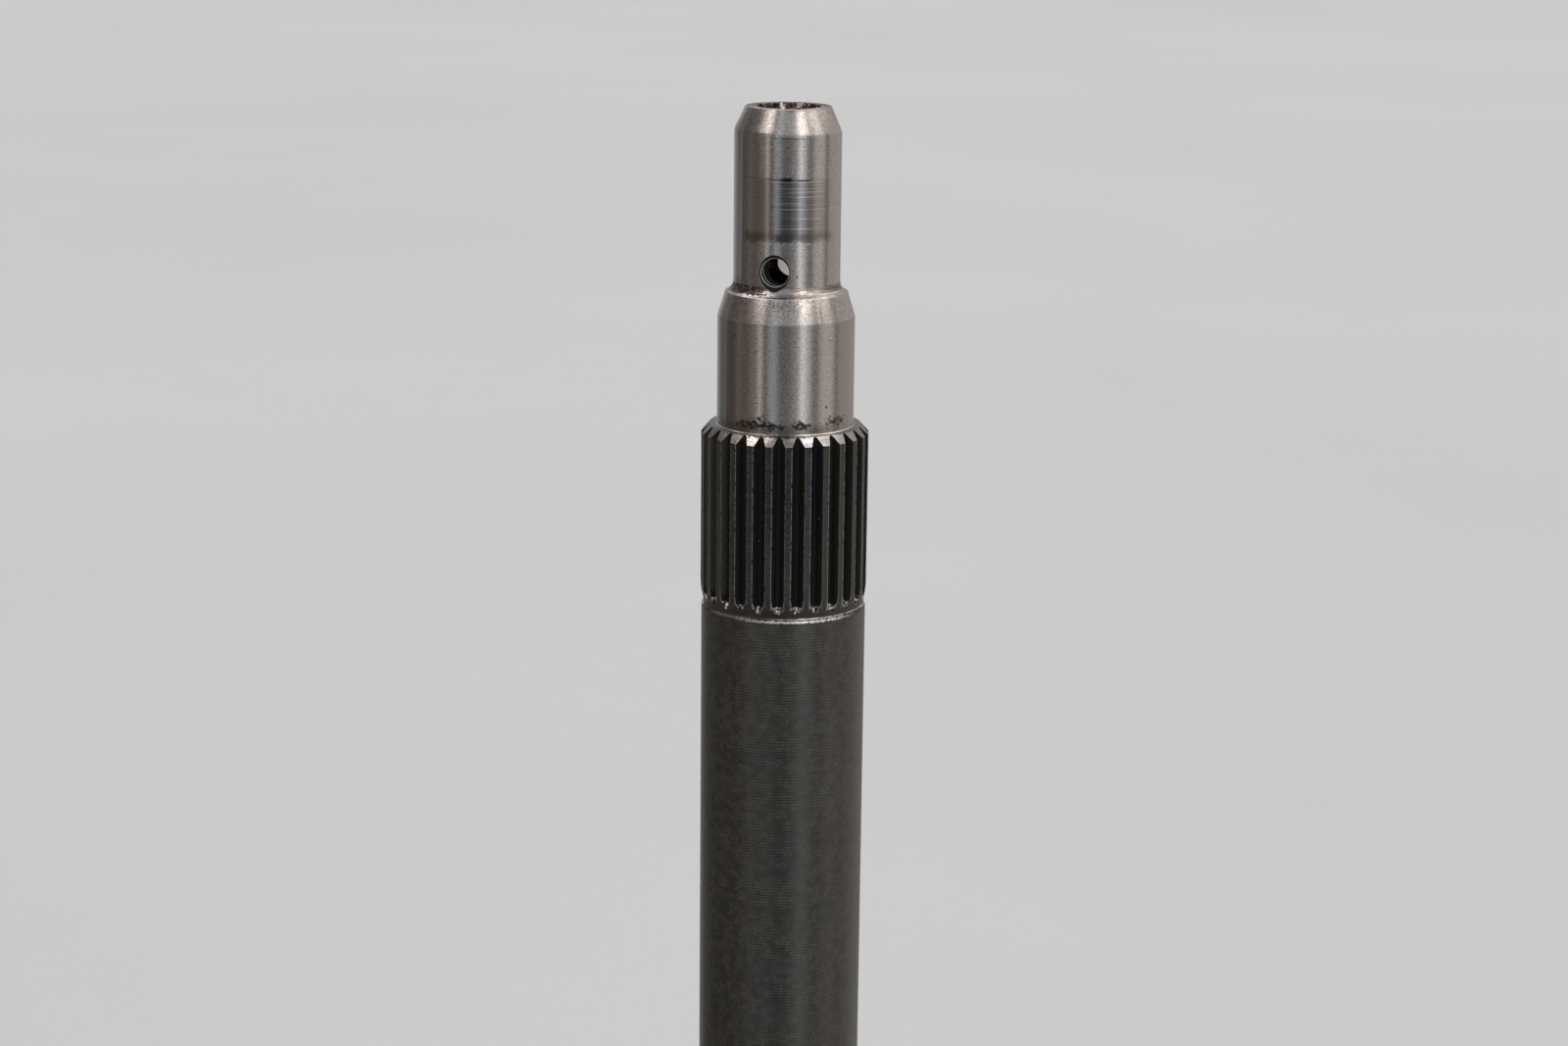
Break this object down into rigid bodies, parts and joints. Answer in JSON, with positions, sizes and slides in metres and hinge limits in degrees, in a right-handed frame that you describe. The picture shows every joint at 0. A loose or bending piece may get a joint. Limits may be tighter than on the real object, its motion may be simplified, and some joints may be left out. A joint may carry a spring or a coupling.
{
  "type": "transmission input shaft",
  "caption": "Solid steel transmission input shaft: bored and cross-drilled nose, ground journal, involute spline with run-outs, and a plain bar below.",
  "frame": {"origin": "centre of the lower end face, on which the shaft stands", "axes": "+Z along the shaft's axis, up to the nose; the cross-drilled hole runs along Y"},
  "size_m": [0.0294, 0.0294, 0.3],
  "materials": {
    "shaft_steel": "satin ground nose and journal, black oxide on the spline and the bar"
  },
  "bodies": {
    "root": {"input_shaft": "shaft_steel"}
  },
  "joints": []
}
